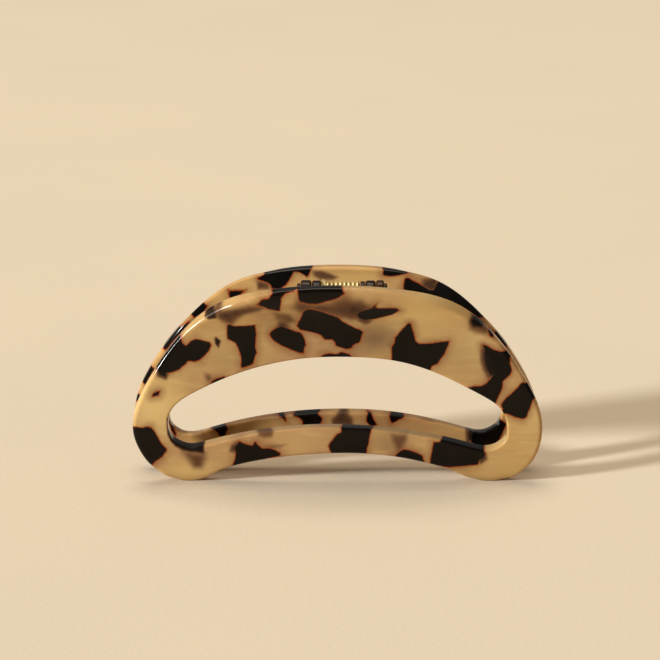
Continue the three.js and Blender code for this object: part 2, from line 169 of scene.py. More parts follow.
# ------------------------------------------------------------------ chips in the tortoiseshell
# Each is (softness of its edge in mm, opacity, outline in the sheet's own x and z in mm). Softness 0 is a chip at the surface.
FRONT_CHIPS = [
    (0, 1, [(-43.33, 43.18), (-41.39, 41.54), (-40.89, 39.89), (-40.1, 39.16), (-39.02, 40.33), (-37.41, 41.15), (-35.55, 40.64), (-33.7, 40.1), (-33.18, 39.22), (-33.99, 37.6), (-35.34, 36.21), (-36.41, 35.12), (-37.75, 34.57), (-39.75, 34.71), (-40.29, 33.76), (-41.5, 33.09), (-41.91, 32.43), (-43.92, 31.76), (-45.79, 31.5), (-47.12, 31.63), (-47.9, 32.82), (-50.07, 34.14), (-49.64, 34.85), (-47.91, 37.35), (-46, 40.01), (-43.65, 42.8)]),
    (1, 1, [(-48.42, 33.76), (-49.8, 34.59), (-48.42, 33.76), (-46.03, 33.22), (-44.99, 31.37), (-45.54, 30.04), (-47.66, 30.83)]),
    (0.4, 0.95, [(-32.48, 41.86), (-31.56, 41.24), (-30.77, 40.43), (-31.18, 39.46), (-31.32, 38.59), (-32.11, 39.31), (-32.37, 40.19)]),
    (0, 1, [(-29.08, 45.92), (-28.29, 46.03), (-27.24, 45.32), (-24.32, 45.46), (-21.58, 45.82), (-21.31, 42.33), (-21.6, 39.03), (-21.21, 37.05), (-21.89, 35.4), (-22.3, 33.91), (-23.9, 33.24), (-25.5, 32.89), (-25.61, 36.21), (-26.26, 38.45), (-26.92, 39.9), (-28.11, 40.58), (-29.16, 41.09), (-29.26, 43.62)]),
    (0, 1, [(-17.9, 42.75), (-17.17, 43.79), (-16.1, 44.81), (-14.77, 45.33), (-13.71, 44.98), (-12.39, 44.3), (-10.8, 43.63), (-9.74, 43.24), (-8.95, 42.18), (-8.42, 40.8), (-8.02, 39.32), (-8.43, 38.6), (-8.83, 36.61), (-9.76, 37), (-12.42, 38.03), (-15.08, 39.32), (-16.67, 40.5), (-17.59, 41.71)]),
    (1.2, 0.8, [(-16.1, 44.64), (-15.02, 46.76), (-13.7, 46.4), (-12.39, 44.64), (-13.98, 44.3)]),
    (0, 1, [(-10.66, 45.33), (-9.98, 47.13), (-9.3, 49.14), (-8.75, 50.79), (-7.82, 51.48), (-6.51, 51.48), (-4.4, 50.8), (-1.77, 49.52), (0.35, 48.49), (1.41, 47.13), (3, 46.05), (4.87, 44.65), (6.19, 44.14), (7.13, 43.31), (6.74, 41.73), (6.21, 40.21), (4.62, 39.33), (3.95, 38.32), (3.02, 38.01), (1.69, 38.38), (-0.17, 39.04), (-0.57, 40.06), (-1.24, 40.81), (-3.37, 41.02), (-3.9, 42.03), (-5.49, 42.82), (-7.61, 43.47), (-9.74, 43.96)]),
    (0, 1, [(-10.51, 58.36), (-10.59, 58.35), (-10.4, 56.01), (-10.03, 54), (-9.64, 53.39), (-7.54, 53), (-5.44, 52.86), (-3.86, 53.19), (-2.29, 53.72), (-0.71, 53.93), (0.86, 54.61), (2.3, 55.5), (1.64, 56.13), (1.72, 58.75), (0.4, 58.79), (-1.28, 58.78), (-1.79, 58.76), (-4.92, 58.7), (-8.37, 58.53), (-10.47, 58.36)]),
    (0, 1, [(-16.96, 55.33), (-16.93, 58.77), (-13.53, 59.04), (-9.87, 59.18), (-9.88, 56.47), (-10.66, 56.01), (-12.24, 55.67), (-13.55, 55.22), (-14.48, 54.45), (-14.63, 53.26), (-14.95, 50.79), (-16.27, 50.96), (-18.1, 51.47), (-19.92, 52.27), (-21.22, 52.71), (-20.41, 53.26), (-20.13, 53.99), (-18.02, 54.33)]),
    (0, 1, [(5.23, 49.71), (6.15, 50.63), (7.98, 51.39), (9.29, 51.97), (9.81, 52.64), (10.72, 53.12), (10.21, 51.97), (11.4, 51.62), (13.5, 51.94), (15.88, 51.82), (16.69, 51.06), (15.39, 49.98), (14.09, 49.23), (11.99, 48.5), (9.88, 47.76), (7.5, 47.39), (5.64, 48.23)]),
    (2, 0.55, [(4.29, 52.13), (6.64, 53.27), (9.81, 52.73), (9.84, 50.45), (7.23, 47.87), (4.31, 48.97)]),
    (1.2, 0.65, [(5.63, 48.97), (9.87, 48.24), (8.83, 46.41), (7.51, 45.7), (5.91, 47.14)]),
    (0, 1, [(14.28, 32.77), (14.62, 34.6), (14.61, 37.07), (14.47, 38.7), (15.26, 39.92), (15.51, 41.58), (16.82, 43.48), (17.87, 45), (18.64, 46.17), (19.43, 46.6), (19.84, 46.06), (20.27, 43.65), (21.1, 40.52), (22.17, 39.78), (24.83, 39.87), (27.49, 40.26), (30.06, 40.77), (29.89, 39.35), (28.85, 37.07), (27.54, 34.96), (26.75, 33.94), (26.08, 33.72), (25.42, 33.35), (24.84, 32.07), (24.15, 30.12), (21.66, 31), (19.1, 31.73), (16.55, 32.35)]),
    (0.8, 0.97, [(35.32, 46.8), (35.78, 48.62), (36.5, 50.29), (38.18, 48.26), (39.87, 45.54), (38.3, 44.84), (36.17, 45.02)]),
    (1.6, 0.5, [(34.8, 46.43), (36.28, 49.36), (40.7, 44.33), (39.69, 42.37), (37.02, 42.69), (35.13, 43.99)]),
    (0, 1, [(41.72, 45.17), (40.06, 43.34), (40.62, 42), (41.56, 41.44), (43.6, 43.19), (44.09, 42.62), (44.73, 41.87), (45.85, 40.57), (46.58, 39.7), (44.69, 41.91), (41.75, 45.15)]),
    (0, 1, [(38.67, 39.35), (39.2, 39.56), (40.41, 39.12), (41.21, 38.49), (42.29, 37.92), (43.76, 37.59), (44.82, 37.73), (46.92, 39.22), (47.63, 38.22), (48.33, 37.23), (46.18, 35.71), (46.2, 34.35), (46.75, 32.74), (46.51, 31.42), (45.46, 30.36), (44.41, 29.29), (44.3, 27.56), (43.54, 25.8), (43.03, 24.55), (42.73, 23.57), (41.19, 21.36), (39.72, 22.39), (37.19, 23.89), (33.88, 25.66), (35.08, 27.95), (36.95, 28.22), (38.82, 28.35), (39.87, 28.94), (40.92, 30.22), (41.84, 31.41), (41.54, 33.54), (40.46, 35.43), (39.5, 37.36)]),
    (1.5, 1, [(38.94, 39.35), (38.57, 37.36), (38.59, 35.16), (39.29, 32.74), (40.65, 30.35), (42.52, 30.62), (43.26, 34.62), (40.28, 38.49)]),
    (0, 1, [(43.86, 23.14), (44.51, 23.99), (45.29, 25.05), (46.47, 26.07), (47.78, 27.34), (49.01, 28.76), (49.74, 29.37), (50.55, 29.03), (52.81, 30.26), (53.5, 28.98), (54.31, 27.49), (55.23, 25.51), (52.92, 24.56), (52.4, 24), (51.86, 22.14), (51.28, 20.7), (50.95, 19.54), (50.24, 18.96), (49.3, 19.05), (47.55, 19.54), (45.79, 20.32), (45.25, 20.4), (42.76, 19.36), (42.48, 19.9), (44.56, 21.7)]),
    (0, 1, [(-4.25, 33.58), (-4.1, 33.58), (-4.17, 36.23), (-3.1, 36.78), (-1.77, 37), (0.09, 36.86), (1.16, 37.42), (2.22, 37.17), (3.56, 36.62), (4.36, 35.96), (4.33, 33.64), (4.34, 33.64), (-0.14, 33.69)]),
    (0, 1, [(-33.06, 26.34), (-33.82, 27.91), (-33.4, 29.38), (-32.46, 30.12), (-31.39, 30.52), (-29.92, 30.71), (-28.95, 28.12), (-29.04, 28.09)]),
    (1.2, 0.5, [(-35.38, 31.64), (-33.78, 31.37), (-33, 29.78), (-34.34, 29.25), (-35.13, 30.31)]),
    (0, 1, [(-49.37, 25.19), (-49.08, 26.21), (-48.27, 26.67), (-47.2, 26.83), (-47.57, 25.55)]),
    (1.8, 0.7, [(-32.14, 49.68), (-33.44, 51.59), (-31.22, 52.88), (-30.25, 50.78), (-26.8, 51.3), (-22.82, 52.11), (-19.4, 51.96), (-20.49, 50.79), (-24.22, 49.69), (-26.39, 47.84), (-27.76, 45.67), (-29.34, 46.39), (-31.15, 47.84)]),
    (0.3, 0.85, [(-35.51, 48.2), (-34.39, 49.68), (-33.27, 51.12), (-31.77, 52.1), (-31.93, 48.21), (-33.81, 47.66)]),
    (0, 1, [(-56.95, 16.68), (-54.91, 16.67), (-53.56, 16.8), (-52.23, 16.54), (-50.61, 16.86), (-49.67, 16.67), (-49.02, 15.74), (-48.11, 14.3), (-47.47, 13.07), (-46.44, 11.5), (-45.73, 10.62), (-45.81, 9.9), (-46.79, 8.52), (-48.18, 7.58), (-49.01, 7.05), (-49.58, 6.34), (-50.43, 5.6), (-51.94, 4.3), (-53.7, 6.52), (-55.31, 9.42), (-56.47, 12.76), (-56.95, 15.61)]),
    (0, 1, [(-26.78, 12.38), (-26.1, 13), (-25.17, 12.38), (-23.56, 11.81), (-22.62, 11.66), (-22.12, 12.67), (-21.66, 12.81), (-21, 11.81), (-20.07, 10.93), (-17.92, 10.93), (-16.31, 10.21), (-14.97, 9.5), (-15.25, 8.54), (-19.3, 7.6), (-18.86, 5.16), (-22.81, 4.42), (-27.63, 3.12), (-28.41, 5.32), (-27.68, 7.19), (-27.24, 8.94), (-27.47, 10.92)]),
    (1, 0.8, [(-28.7, 10.06), (-28.13, 11.8), (-26.5, 12.94), (-25.99, 10.93), (-27.09, 9.49)]),
    (1, 0.4, [(-20.07, 11.52), (-16.56, 11.96), (-13.07, 12.1), (-15.23, 10.93), (-17.92, 10.64)]),
    (0, 1, [(1.1, 18.73), (1.05, 17.24), (1.19, 15.51), (0.03, 14.86), (-0.96, 13.65), (-1.77, 12.54), (-2.17, 11.53), (-1.77, 10.07), (-1.23, 9.23), (-1.13, 6.8), (2.26, 6.84), (7.77, 6.69), (7.93, 8.83), (8.33, 10.65), (8.98, 14.07), (9.5, 16.71), (9.64, 18.27), (9.6, 18.27)]),
    (0, 1, [(15.07, 5.92), (15.12, 5.91), (15.48, 8.43), (16.28, 9.38), (17.08, 10.14), (18.15, 10.66), (19.77, 10.37), (21.93, 9.53), (23.29, 8.7), (23.75, 6.54), (23.14, 4.33), (20.74, 4.88), (18.04, 5.44)]),
    (0, 1, [(26, 12.84), (27.54, 12.7), (28.06, 13.26), (28.53, 15.35), (29.17, 15.2), (32.14, 14.42), (34.85, 13.65), (37.57, 12.9), (38.81, 12.64), (39.63, 12.51), (39.68, 10.53), (40.26, 9.07), (39.88, 8.17), (38.68, 7.77), (38.2, 6.26), (36.05, 6.05), (33.9, 5.87), (30.13, 5.51), (26.87, 5.81), (26.24, 3.48), (24.4, 3.99), (24.45, 3.97), (25.15, 6.54), (25.45, 8.98), (25.81, 11.26)]),
    (0.5, 0.92, [(-45.47, 19.19), (-45.41, 14.83), (-44.65, 12.93), (-43.35, 11.36), (-41.49, 10.33), (-39.48, 9.91), (-35.85, 9.49), (-35.49, 13.77), (-37.51, 13.77), (-39.39, 13.77), (-40.99, 14.3), (-42.57, 15.88), (-43.61, 18.05)]),
    (2.2, 0.62, [(-41.63, 10.05), (-35.44, 9.49), (-35.22, 7.86), (-36.38, 5.31), (-38.55, 5.31), (-40.08, 7.59)]),
    (1, 0.55, [(-21.11, 14.32), (-21.6, 17.05), (-19.78, 17.37), (-17.51, 17.69), (-16.77, 17.79), (-16.53, 15.89), (-17.35, 14.05), (-19.51, 13.64)]),
    (1.5, 0.55, [(14.61, 14.86), (18.91, 14.87), (19.31, 17.15), (18.91, 14.87), (18.93, 13.25), (17.88, 10.96), (16.55, 9.25), (15.72, 11.25), (14.9, 13.25)]),
    (2.6, 0.66, [(-10.42, 53.77), (-7.02, 53), (-1.76, 53.27), (2.17, 54.45), (6.12, 53.53), (6.68, 50.45), (4.06, 47.5), (-1.77, 49.33), (-6.51, 50.8), (-9.68, 50.44), (-11.24, 51.8)]),
    (1, 0.8, [(38.06, 10.97), (40.25, 9.54), (40.57, 7.91), (39, 6.55), (37.61, 7.64)]),
    (1.6, 0.4, [(13.66, 39.34), (15.25, 41.42), (14.74, 37.35)]),
    (1.6, 0.5, [(-17.07, 50.43), (-12.33, 49.7), (-10.25, 46.76), (-12.38, 46.04), (-16.07, 47.49)]),
]
REAR_CHIPS = [
    (0, 1, [(21.82, 52.63), (19.93, 53.71), (19.66, 54.48), (20.33, 56.82), (18.37, 57.21), (15.6, 57.67), (12.74, 58.11), (10.01, 58.34), (6.43, 58.62), (6.4, 57.44), (7.21, 54.68), (7.75, 52.63), (8.84, 53.72), (9.92, 54.68), (11.54, 54.95), (12.08, 53.38), (12.89, 51.96), (13.69, 50.99), (15.3, 50.09), (17.46, 50.09), (18.01, 50.99), (19.1, 51.59), (20.73, 52.09)]),
    (1, 0.75, [(21.54, 51.96), (18.56, 51.46), (18, 50.09), (21.25, 50.08)]),
    (1.2, 0.66, [(6.4, 55.25), (3.97, 55.25), (1.26, 53.91), (-0.37, 52.92), (0.99, 52.23), (4.5, 52.23), (6.13, 53.38)]),
    (0, 1, [(-12.41, 53.92), (-12.54, 55.45), (-12.76, 58.18), (-13.53, 58.1), (-16.04, 57.68), (-18.79, 57.22), (-20.08, 56.97), (-19.31, 54.31), (-17.68, 53.84), (-16.06, 53.4), (-14.43, 53.24), (-12.81, 53.56)]),
    (1.2, 0.22, [(-17.68, 55.64), (-17.97, 57.36), (-23.13, 56.09), (-22.55, 54.12), (-26.32, 51.98), (-24.69, 51.24), (-20.38, 52.24), (-17.68, 53.08)]),
    (0, 1, [(-18.05, 49.67), (-17.93, 51.24), (-18.49, 52.85), (-19.57, 52.93), (-20.65, 52.11), (-21.99, 51.65), (-23.6, 50.77), (-25.21, 49.99), (-26.3, 50.1), (-26.85, 51.12), (-27.41, 52.11), (-28.37, 54.2), (-31.62, 52.7), (-34.59, 50.81), (-37.24, 49.01), (-40.04, 46.5), (-41.35, 45.28), (-40.03, 43.86), (-38.14, 43.62), (-35.97, 45.03), (-33.27, 46.38), (-30.58, 47.26), (-27.89, 47.92), (-25.19, 48.47), (-22.5, 49.01)]),
    (1.2, 0.75, [(-22.25, 50.32), (-23.62, 52.24), (-25.52, 52.79), (-26.56, 55.03), (-28.54, 54.12), (-27.68, 52.24), (-28.45, 49.89), (-25.47, 49.23)]),
    (0, 1, [(-44.13, 42.23), (-44.29, 42.04), (-46.38, 39.54), (-47.99, 37.24), (-48.11, 37.07), (-46.02, 35.62), (-44.2, 37.61), (-42.53, 39.81), (-44.66, 41.6)]),
    (0, 1, [(29.57, 50.02), (27.99, 49.8), (24.22, 49.97), (26.09, 48.67), (28.78, 47.9)]),
    (0, 1, [(39.43, 44.65), (40.72, 46.08), (38.35, 48.21), (37.05, 49.23), (35.52, 46.9), (34.52, 46.35), (36.05, 44.76), (38.49, 43.46)]),
    (0, 1, [(39.66, 42.97), (42.3, 41.21), (44.03, 42.69), (46.76, 39.45), (49.24, 35.95), (47.87, 34.98), (46.25, 34.83), (43.45, 38.4), (39.58, 42.36)]),
    (0, 1, [(52.2, 31.3), (50.45, 30.21), (49.38, 29.31), (50.8, 26.92), (51.94, 24.57), (53.02, 25.15), (55.04, 25.98), (53.62, 28.76)]),
    (0, 1, [(56.27, 22.99), (53.91, 22.01), (53.24, 21.45), (54.24, 19.77), (56.94, 20.4), (57.38, 17.89), (57.25, 19.08), (56.72, 21.35)]),
    (0, 1, [(16.95, 17.47), (14.07, 17.85), (14.16, 17.84), (13.84, 15.36), (13.65, 13.59), (14.66, 14.73), (15.75, 15.52), (16.02, 17.59)]),
    (0, 1, [(13.54, 17.92), (10.07, 18.23), (7.88, 18.42), (6.01, 18.54), (5.16, 18.58), (5.08, 16.3), (3.85, 15.05), (3.85, 14.11), (4.53, 12.77), (9.19, 12.76), (9.46, 14.11), (10.28, 15.05), (11.92, 15.68), (12.12, 18.06), (13.54, 17.92)]),
    (1.2, 0.72, [(1.24, 14.74), (-0.12, 16), (-0.16, 18.77), (-1.79, 18.75), (-3.44, 18.73), (-3.41, 16), (-4.37, 14.74), (-4.51, 12.63), (1.24, 12.62)]),
    (0, 1, [(-8.74, 17.52), (-8.81, 18.54), (-10.78, 18.41), (-9.95, 18.46), (-9.78, 16.1), (-10.26, 14.59), (-11.28, 12.63), (-9.17, 12.63), (-8.15, 13.97), (-8.12, 15.47)]),
    (0, 1, [(-14.07, 18.13), (-16.64, 17.8), (-19.54, 17.42), (-18.75, 17.54), (-18.46, 15.23), (-16.83, 14.28), (-15.14, 13.22), (-14.64, 14.13), (-14.36, 15.38), (-14.69, 18.05)]),
    (0, 1, [(34.13, 11.88), (34.67, 13.7), (32.8, 14.24), (30.88, 14.76), (30.56, 13.58), (29.75, 11.88), (30.17, 10.9), (30.45, 9.6), (31.69, 9.14), (33.05, 11.03)]),
    (1, 0.26, [(40.18, 10.89), (40.13, 12.53), (36.37, 13.2), (35.79, 10.89), (35.26, 8.52), (39.65, 8.52)]),
    (0, 1, [(45.75, 14.09), (43.49, 14.51), (43.43, 14.09), (44.82, 12.59), (43.94, 10.46), (44.17, 9.44), (45.38, 11.45)]),
    (0, 1, [(-37.4, 11.22), (-37.85, 13.22), (-39.39, 13.07), (-41.13, 13.61), (-42.23, 14.36), (-42.76, 15.54), (-44.88, 14.77), (-46.69, 13.24), (-44.3, 7.63), (-39.36, 6.08), (-36.61, 7.95)]),
    (1.2, 0.9, [(-35.48, 11.5), (-36.08, 13.64), (-38.3, 13.13), (-38.22, 11.5), (-38.81, 7.63), (-35.79, 7.95)]),
    (0.6, 0.6, [(-21.47, 15.86), (-24.21, 15.39), (-27.79, 13.68), (-26.42, 13.83), (-22.85, 14.75)]),
    (0, 1, [(-33.3, 40.22), (-32.8, 37.9), (-32.09, 36.6), (-30.69, 35.02), (-28.77, 36.56), (-27.39, 38.28), (-29.12, 40.43), (-31.16, 40.64)]),
    (0, 1, [(50.94, 7.36), (47.9, 7.33), (48.1, 1.71), (48.73, -0.62), (51.76, 0.08), (51.86, 6.43)]),
    (0, 1, [(12.96, 44.74), (10.93, 44.68), (8.3, 43.48), (6.59, 41.61), (8.18, 38.78), (12.06, 39.74), (14.44, 40.61)]),
    (0, 1, [(-4.95, 43.17), (-6.54, 41.5), (-7.07, 38.76), (-7.46, 35.98), (-6.05, 33.28), (-4.45, 35.14), (-3.68, 35.27), (-3.83, 39.17), (-4.2, 40.47)]),
    (0, 1, [(38.24, 31.22), (36.33, 29.98), (34.97, 28.39), (34.91, 23.89), (37.18, 25.08), (39.13, 27.48), (40.11, 30.09)]),
    (0, 1, [(26.18, 34.69), (26.23, 31.31), (29.76, 30.34), (33.51, 31.93), (34.51, 34.64), (31.56, 37.5), (26.78, 36.65)]),
    (0, 1, [(26.74, 42.99), (24.53, 45.24), (22.04, 45.29), (20.32, 43.17), (19.87, 41.55), (22.92, 38.93), (25.65, 41.14)]),
    (0, 1, [(-44.1, 30), (-46.3, 28.35), (-48.49, 26.63), (-47.38, 23.89), (-45.44, 23.43), (-43.66, 26.41)]),
    (0, 1, [(-20.01, 45.45), (-22.66, 43.67), (-22.82, 41.6), (-23.3, 36.86), (-19.72, 36.47), (-18.14, 40.03), (-16.34, 43.06)]),
    (0, 1, [(-51.33, 18.24), (-52.6, 20.89), (-57.2, 18.44), (-58.14, 16.1), (-58.02, 13.85), (-54.84, 12.24), (-51.64, 14.23), (-51.02, 15.66)]),
    (0, 1, [(-37.76, 32.62), (-40.43, 32.48), (-39.34, 27.33), (-38.41, 26.24), (-36.2, 25.03), (-34, 25.19), (-34.84, 29.76), (-35.71, 31.4)]),
    (0, 1, [(49.48, 12.56), (49.89, 11.92), (52.35, 10.71), (54.22, 9.97), (55.21, 11.11), (55.01, 13.21), (55.29, 14.73), (52.42, 15.51), (51.36, 14.05)]),
    (0, 1, [(-3.8, 47.53), (-5.97, 48.52), (-7.84, 49.11), (-10.11, 48.88), (-11.55, 47.32), (-10.95, 45.83), (-10.01, 44.66), (-6.1, 45.11), (-4.58, 46.57)]),
    (0, 1, [(46.02, 24.59), (45.03, 26.57), (42.12, 25.01), (40.38, 21.74), (41.5, 19.64), (43.76, 19.01), (45.73, 21.73), (47.88, 24.11)]),
    (0, 1, [(0.04, 41.88), (-0.95, 40.9), (-0.18, 38.66), (1.53, 36.17), (3.57, 36.76), (3.74, 39.03), (3.05, 40.53), (2.14, 42.12)]),
]
# Painted light and shade on the honey-coloured ground, in soft patches: (x, z, radius x, radius z, amount of grey
# painted shade, amount of gold painted light). The gold is painted light where the sheet is lit and where light
# shines through it; the grey is painted shade where the sheet lies in shade.
FRONT_PAINTED_LIGHT_SHADE = [
    (10.3, 41.5, 6, 5, 0.8, 0),
    (22, 50, 13, 4.5, 0, 0.9),
    (4, 48, 8, 3, 0, 0.3),
    (38, 41, 7, 6, 0, 0.5),
    (52, 20, 4, 8, 0, 0.35),
    (-49, 22, 7, 8, 0, 0.95),
    (-40, 4, 9, 4, 0, 0.9),
    (-36, 45, 8, 5, 0.08, 0.1),
    (34, 37, 8, 6, 0.22, 0),
    (-29, 35, 8, 5, 0.22, 0),
    (44, 4, 9, 4, 0, 0.45),
    (13, 12.5, 5, 4, 0.4, 0),
    (-9, 13, 8, 4, 0, 0.25),
    (-16, 46, 6, 5, 0.3, 0),
]
REAR_PAINTED_LIGHT_SHADE = [
    (-5, 54, 14, 4, 0, 0.7),
    (25, 52, 10, 5, 0, 0.5),
    (0, 12, 20, 5, 0.25, 0),
]

# ------------------------------------------------------------------ the sheet
def bend(z):
    z = np.asarray(z, float)
    zc = np.clip(z, BEND[0, 0], BEND[-1, 0])
    i = np.clip(np.searchsorted(BEND[:, 0], zc, side="left") - 1, 0, len(BEND) - 2)
    z0, y0, m0 = (BEND[i][..., k] for k in range(3))
    z1, y1, m1 = (BEND[i + 1][..., k] for k in range(3))
    h = z1 - z0
    t = (zc - z0) / h
    y = (
        (2 * t**3 - 3 * t**2 + 1) * y0
        + (t**3 - 2 * t**2 + t) * h * m0
        + (-2 * t**3 + 3 * t**2) * y1
        + (t**3 - t**2) * h * m1
    )
    slope = (
        (6 * t**2 - 6 * t) * y0 / h
        + (3 * t**2 - 4 * t + 1) * m0
        + (-6 * t**2 + 6 * t) * y1 / h
        + (3 * t**2 - 2 * t) * m1
    )
    return y, np.arctan(slope)


def on_sheet(x, z, b):
    """x and z on the middle surface and b outwards from it: [x, distance from the middle plane, z]."""
    y, a = bend(z)
    return np.stack([x, y + b * np.cos(a), z - b * np.sin(a)], -1)


def periodic(points, t):
    """A closed cubic spline through the points, t counted in points."""
    n = len(points)
    a = 4 * np.eye(n) + np.roll(np.eye(n), 1, 0) + np.roll(np.eye(n), -1, 0)
    d = np.linalg.solve(a, 3 * (np.roll(points, -1, 0) - np.roll(points, 1, 0)))
    i = np.floor(t).astype(int) % n
    f = (t - np.floor(t))[:, None]
    j = (i + 1) % n
    return (
        (2 * f**3 - 3 * f**2 + 1) * points[i]
        + (f**3 - 2 * f**2 + f) * d[i]
        + (-2 * f**3 + 3 * f**2) * points[j]
        + (f**3 - f**2) * d[j]
    )


def polygon_distance(px, pz, poly):
    """Signed distance to a polygon, negative inside."""
    poly = np.asarray(poly, float)
    q = np.roll(poly, -1, 0)
    best = np.full(px.shape, 1e9)
    inside = np.zeros(px.shape, bool)
    for (ax, az), (bx, bz) in zip(poly, q):
        ex, ez = bx - ax, bz - az
        wx, wz = px - ax, pz - az
        t = np.clip((wx * ex + wz * ez) / max(ex * ex + ez * ez, 1e-12), 0, 1)
        best = np.minimum(best, (wx - ex * t) ** 2 + (wz - ez * t) ** 2)
        cond = (az > pz) != (bz > pz)
        if abs(bz - az) > 1e-12:
            inside ^= cond & (px < (bx - ax) * (pz - az) / (bz - az) + ax)
    d = np.sqrt(best)
    return np.where(inside, -d, d)


def smooth(x):
    x = np.clip(x, 0, 1)
    return x * x * (3 - 2 * x)


def mesh_object(name, verts, faces, shade=True):
    me = bpy.data.meshes.new(name)
    me.from_pydata([tuple(v) for v in verts], [], faces)
    me.validate()
    me.update()
    if shade:
        me.polygons.foreach_set("use_smooth", [True] * len(me.polygons))
    o = bpy.data.objects.new(name, me)
    bpy.context.scene.collection.objects.link(o)
    return o


def grid_object(name, P, close_u=True, close_v=True):
    """P is [nu, nv, 3] in metres. Faces go round both ways."""
    nu, nv = P.shape[:2]
    u = np.arange(nu if close_u else nu - 1)
    v = np.arange(nv if close_v else nv - 1)
    U, V = np.meshgrid(u, v, indexing="ij")
    a = U * nv + V
    b = ((U + 1) % nu) * nv + V
    c = ((U + 1) % nu) * nv + (V + 1) % nv
    d = U * nv + (V + 1) % nv
    F = np.stack([a, b, c, d], -1).reshape(-1, 4)
    return mesh_object(name, P.reshape(-1, 3), [tuple(int(k) for k in f) for f in F])


def set_attribute(o, name, values):
    at = o.data.attributes.new(name, "FLOAT", "POINT")
    at.data.foreach_set("value", np.asarray(values, np.float32))


def chip_fields(chips, x, z, b, b_ref, seed):
    """The signed distance to the nearest sharp chip, and the strength of the blurred ones, at points of the sheet."""
    rng = np.random.RandomState(seed)
    sharp = np.full(x.shape, 9.0)
    soft = np.zeros(x.shape)
    for softness, opacity, poly in chips:
        slant = rng.uniform(-0.22, 0.22, 2)
        push = rng.uniform(-0.05, 0.22)
        db = np.abs(b - b_ref)
        poly = np.asarray(poly, float)
        lo, hi = poly.min(0) - 6, poly.max(0) + 6
        near = (x > lo[0]) & (x < hi[0]) & (z > lo[1]) & (z < hi[1])
        if not near.any():
            continue
        d = polygon_distance(
            x[near] - slant[0] * db[near], z[near] - slant[1] * db[near], poly
        )
        d = d + push * db[near]
        if softness == 0:
            sharp[near] = np.minimum(sharp[near], d)
        else:
            s = opacity * smooth(0.5 - d / (2 * softness))
            soft[near] = 1 - (1 - soft[near]) * (1 - s)
    return sharp, soft


# Painted shade (grey) and painted light (gold) at points of the sheet, summed from soft elliptical patches.
def painted_light_shade_fields(painted_patches, x, z):
    painted_shade = np.zeros(x.shape)
    gold = np.zeros(x.shape)
    for cx, cz, rx, rz, g, h in painted_patches:
        w = np.exp(-(((x - cx) / rx) ** 2) - ((z - cz) / rz) ** 2)
        painted_shade += g * w
        gold += h * w
    return painted_shade, gold


def frame_piece(name, side, chips, b_ref, painted_patches, seed):
    per = 10
    ring = periodic(OUTLINE, np.arange(len(OUTLINE) * per) / per)
    outer, cut = ring[:, :2], ring[:, 2:]
    # section round the band: share of the width, mm added, offset through the thickness
    sec = []
    faces_n, arc_n, rim_n = 54, 8, 4
    for k in range(faces_n + 1):
        s = k / faces_n
        sec.append((s, ROUND_CUT * (1 - s) - ROUND_OUT * s, H))
    for k in range(1, arc_n):
        f = math.pi / 2 * (1 - k / arc_n)
        sec.append((1, -ROUND_OUT + ROUND_OUT * math.cos(f), H - ROUND_OUT + ROUND_OUT * math.sin(f)))
    for k in range(rim_n + 1):
        sec.append((1, 0, (H - ROUND_OUT) * (1 - 2 * k / rim_n)))
    for k in range(1, arc_n):
        f = math.pi / 2 * k / arc_n
        sec.append((1, -ROUND_OUT + ROUND_OUT * math.cos(f), -(H - ROUND_OUT) - ROUND_OUT * math.sin(f)))
    for k in range(faces_n + 1):
        s = 1 - k / faces_n
        sec.append((s, ROUND_CUT * (1 - s) - ROUND_OUT * s, -H))
    for k in range(1, arc_n):
        f = math.pi / 2 * (1 - k / arc_n)
        sec.append((0, ROUND_CUT - ROUND_CUT * math.cos(f), -(H - ROUND_CUT) - ROUND_CUT * math.sin(f)))
    for k in range(rim_n + 1):
        sec.append((0, 0, -(H - ROUND_CUT) * (1 - 2 * k / rim_n)))
    for k in range(1, arc_n):
        f = math.pi / 2 * k / arc_n
        sec.append((0, ROUND_CUT - ROUND_CUT * math.cos(f), H - ROUND_CUT + ROUND_CUT * math.sin(f)))
    sec = np.array(sec)
    w = np.hypot(*(outer - cut).T)
    frac = (sec[None, :, 0] * w[:, None] + sec[None, :, 1]) / w[:, None]
    x = cut[:, None, 0] + frac * (outer - cut)[:, None, 0]
    z = cut[:, None, 1] + frac * (outer - cut)[:, None, 1]
    b = np.broadcast_to(sec[None, :, 2], x.shape)
    P = on_sheet(x, z, b)
    # the tips are rounded off where they stand on the table
    low = P[..., 2].min()
    ease = lambda v: 0.5 * (v + np.sqrt(v * v + TIP_EASE**2))
    rise = sum(0.55 * np.exp(-(((np.abs(P[..., 0] - c) - 5.2) / 2.4) ** 2)) for c in TIP_X)
    near_table = np.clip(1 - P[..., 2] / 4, 0, 1)
    eased = np.maximum(ease(P[..., 2]) - ease(low), 0) + rise * near_table
    P[..., 2] = eased + (P[..., 2] - eased) * smooth(P[..., 2] / 4)
    if side < 0:
        P[..., 1] *= -1
    else:
        P[..., 0] *= -1
    o = grid_object(name, P * MM)
    fx, fz, fb = x.ravel(), z.ravel(), b.ravel()
    sharp, soft = chip_fields(chips, fx, fz, fb, b_ref, seed)
    # The painted shade and painted light go onto the sheet as attributes for its material.
    painted_shade, gold = painted_light_shade_fields(painted_patches, fx, fz)
    set_attribute(o, "chip", sharp)
    set_attribute(o, "deep", soft)
    set_attribute(o, "painted_shade", painted_shade)
    set_attribute(o, "gold", gold)
    return o


# ------------------------------------------------------------------ turned and cut pieces
def arc(cx, cr, r, a0, a1, n=5):
    return [
        (cx + r * math.cos(math.radians(a0 + (a1 - a0) * k / n)), cr + r * math.sin(math.radians(a0 + (a1 - a0) * k / n)))
        for k in range(n + 1)
    ]


